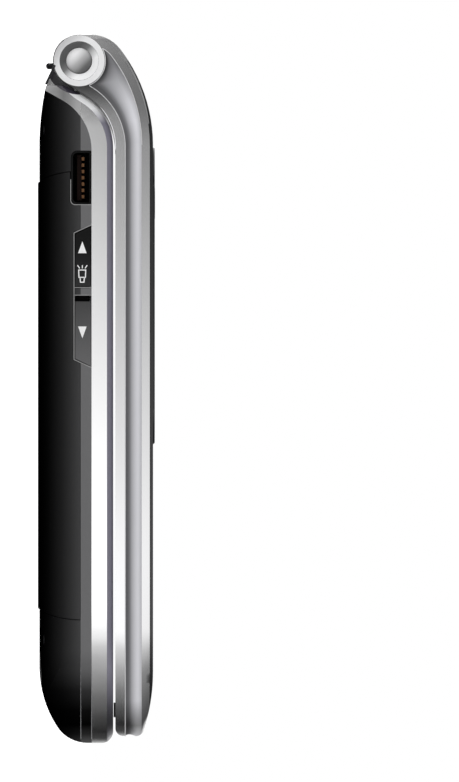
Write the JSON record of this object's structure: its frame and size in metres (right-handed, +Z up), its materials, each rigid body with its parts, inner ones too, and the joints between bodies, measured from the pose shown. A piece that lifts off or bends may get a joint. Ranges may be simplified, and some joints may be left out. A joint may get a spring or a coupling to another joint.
{
  "type": "flip phone",
  "caption": "Clamshell mobile phone, closed: bright metal fold frames, dark rounded back, raised outer window, knuckle hinge, side keys, multi-pin connector and headset socket.",
  "frame": {"origin": "under the middle of the closed phone, on the surface that it lies on", "axes": "+Z up out of the lid's outer face, +Y along the phone towards the hinge, X across the phone with the headset socket on the +X side"},
  "size_m": [0.0486, 0.0972, 0.016],
  "materials": {
    "bright_metal": "polished, clear lacquer",
    "dark_plastic": "smooth satin gloss",
    "dark_trim": "fine moulded grain",
    "keys": "smooth, printed legends",
    "side_keys": "satin",
    "window_glass": "polished, tinted",
    "display": "glossy",
    "steel": "plain",
    "gold": "plated",
    "board": "solder mask",
    "film": "polyimide film",
    "cell_can": "plain can",
    "module_plastic": "moulded",
    "rubber": "matt"
  },
  "bodies": {
    "base": {"rear_housing": "dark_plastic", "base_front_housing": "bright_metal", "keypad_panel": "dark_trim", "dome_sheet": "film", "main_board": "board", "shield_cans": "steel", "loudspeaker": "module_plastic", "microphone": "module_plastic", "antenna": "film", "connector_shell": "steel", "connector_contacts": "gold", "jack_body": "module_plastic", "jack_ring": "dark_trim", "volume_switches": "board", "base_screws": "steel", "strap_bar": "steel", "battery_contacts": "gold", "hinge_cartridge": "steel", "flex_cable": "film"},
    "lid": {"hinge_shaft": "steel", "hinge_pin": "steel", "hinge_caps": "bright_metal", "lid_frame": "bright_metal", "lid_face_plate": "dark_plastic", "outer_window": "window_glass", "outer_display": "display", "camera_module": "module_plastic", "lid_inner_housing": "dark_trim", "inner_window": "window_glass", "inner_display": "display", "earpiece": "module_plastic", "lid_bumpers": "rubber", "lid_board": "board", "lid_screws": "steel"},
    "battery_pack": {"battery_cover": "dark_plastic", "battery_cell": "cell_can", "battery_terminals": "gold"},
    "key_1_body": {"key_1": "keys"},
    "key_2_body": {"key_2": "keys"},
    "key_3_body": {"key_3": "keys"},
    "key_4_body": {"key_4": "keys"},
    "key_5_body": {"key_5": "keys"},
    "key_6_body": {"key_6": "keys"},
    "key_7_body": {"key_7": "keys"},
    "key_8_body": {"key_8": "keys"},
    "key_9_body": {"key_9": "keys"},
    "key_star_body": {"key_star": "keys"},
    "key_0_body": {"key_0": "keys"},
    "key_hash_body": {"key_hash": "keys"},
    "key_send_body": {"key_send": "keys"},
    "key_clear_body": {"key_clear": "keys"},
    "key_end_body": {"key_end": "keys"},
    "key_soft_left_body": {"key_soft_left": "keys"},
    "key_soft_right_body": {"key_soft_right": "keys"},
    "nav_ring_body": {"nav_ring": "keys"},
    "key_ok_body": {"key_ok": "keys"},
    "volume_up_key_body": {"volume_up_key": "side_keys"},
    "volume_down_key_body": {"volume_down_key": "side_keys"},
    "battery_latch_body": {"battery_latch": "dark_plastic"}
  },
  "joints": [
    {"name": "lid_hinge", "type": "hinge", "parent": "base", "child": "lid", "pos_m": [0, 0.045, 0.00565], "axis": [-1, 0, 0], "range_deg": [0, 160]},
    {"name": "key_1_press", "type": "slide", "parent": "base", "child": "key_1_body", "axis": [0, 0, -1], "range_m": [0, 0.00025], "stiffness_N_per_m": 100, "springref_m": -0.0002},
    {"name": "key_2_press", "type": "slide", "parent": "base", "child": "key_2_body", "axis": [0, 0, -1], "range_m": [0, 0.00025], "stiffness_N_per_m": 100, "springref_m": -0.0002},
    {"name": "key_3_press", "type": "slide", "parent": "base", "child": "key_3_body", "axis": [0, 0, -1], "range_m": [0, 0.00025], "stiffness_N_per_m": 100, "springref_m": -0.0002},
    {"name": "key_4_press", "type": "slide", "parent": "base", "child": "key_4_body", "axis": [0, 0, -1], "range_m": [0, 0.00025], "stiffness_N_per_m": 100, "springref_m": -0.0002},
    {"name": "key_5_press", "type": "slide", "parent": "base", "child": "key_5_body", "axis": [0, 0, -1], "range_m": [0, 0.00025], "stiffness_N_per_m": 100, "springref_m": -0.0002},
    {"name": "key_6_press", "type": "slide", "parent": "base", "child": "key_6_body", "axis": [0, 0, -1], "range_m": [0, 0.00025], "stiffness_N_per_m": 100, "springref_m": -0.0002},
    {"name": "key_7_press", "type": "slide", "parent": "base", "child": "key_7_body", "axis": [0, 0, -1], "range_m": [0, 0.00025], "stiffness_N_per_m": 100, "springref_m": -0.0002},
    {"name": "key_8_press", "type": "slide", "parent": "base", "child": "key_8_body", "axis": [0, 0, -1], "range_m": [0, 0.00025], "stiffness_N_per_m": 100, "springref_m": -0.0002},
    {"name": "key_9_press", "type": "slide", "parent": "base", "child": "key_9_body", "axis": [0, 0, -1], "range_m": [0, 0.00025], "stiffness_N_per_m": 100, "springref_m": -0.0002},
    {"name": "key_star_press", "type": "slide", "parent": "base", "child": "key_star_body", "axis": [0, 0, -1], "range_m": [0, 0.00025], "stiffness_N_per_m": 100, "springref_m": -0.0002},
    {"name": "key_0_press", "type": "slide", "parent": "base", "child": "key_0_body", "axis": [0, 0, -1], "range_m": [0, 0.00025], "stiffness_N_per_m": 100, "springref_m": -0.0002},
    {"name": "key_hash_press", "type": "slide", "parent": "base", "child": "key_hash_body", "axis": [0, 0, -1], "range_m": [0, 0.00025], "stiffness_N_per_m": 100, "springref_m": -0.0002},
    {"name": "key_send_press", "type": "slide", "parent": "base", "child": "key_send_body", "axis": [0, 0, -1], "range_m": [0, 0.00025], "stiffness_N_per_m": 100, "springref_m": -0.0002},
    {"name": "key_clear_press", "type": "slide", "parent": "base", "child": "key_clear_body", "axis": [0, 0, -1], "range_m": [0, 0.00025], "stiffness_N_per_m": 100, "springref_m": -0.0002},
    {"name": "key_end_press", "type": "slide", "parent": "base", "child": "key_end_body", "axis": [0, 0, -1], "range_m": [0, 0.00025], "stiffness_N_per_m": 100, "springref_m": -0.0002},
    {"name": "key_soft_left_press", "type": "slide", "parent": "base", "child": "key_soft_left_body", "axis": [0, 0, -1], "range_m": [0, 0.00025], "stiffness_N_per_m": 100, "springref_m": -0.0002},
    {"name": "key_soft_right_press", "type": "slide", "parent": "base", "child": "key_soft_right_body", "axis": [0, 0, -1], "range_m": [0, 0.00025], "stiffness_N_per_m": 100, "springref_m": -0.0002},
    {"name": "nav_ring_press", "type": "slide", "parent": "base", "child": "nav_ring_body", "axis": [0, 0, -1], "range_m": [0, 0.00025], "stiffness_N_per_m": 100, "springref_m": -0.0002},
    {"name": "key_ok_press", "type": "slide", "parent": "base", "child": "key_ok_body", "axis": [0, 0, -1], "range_m": [0, 0.00025], "stiffness_N_per_m": 100, "springref_m": -0.0002},
    {"name": "volume_up_key_press", "type": "slide", "parent": "base", "child": "volume_up_key_body", "axis": [1, 0, 0], "range_m": [0, 0.0003], "stiffness_N_per_m": 100, "springref_m": -0.0002},
    {"name": "volume_down_key_press", "type": "slide", "parent": "base", "child": "volume_down_key_body", "axis": [1, 0, 0], "range_m": [0, 0.0003], "stiffness_N_per_m": 100, "springref_m": -0.0002},
    {"name": "battery_pack_slide", "type": "slide", "parent": "base", "child": "battery_pack", "axis": [0, 0, -1], "range_m": [0, 0.012]},
    {"name": "battery_latch_slide", "type": "slide", "parent": "base", "child": "battery_latch_body", "axis": [0, 1, 0], "range_m": [0, 0.0015], "stiffness_N_per_m": 100, "springref_m": -0.0002}
  ]
}
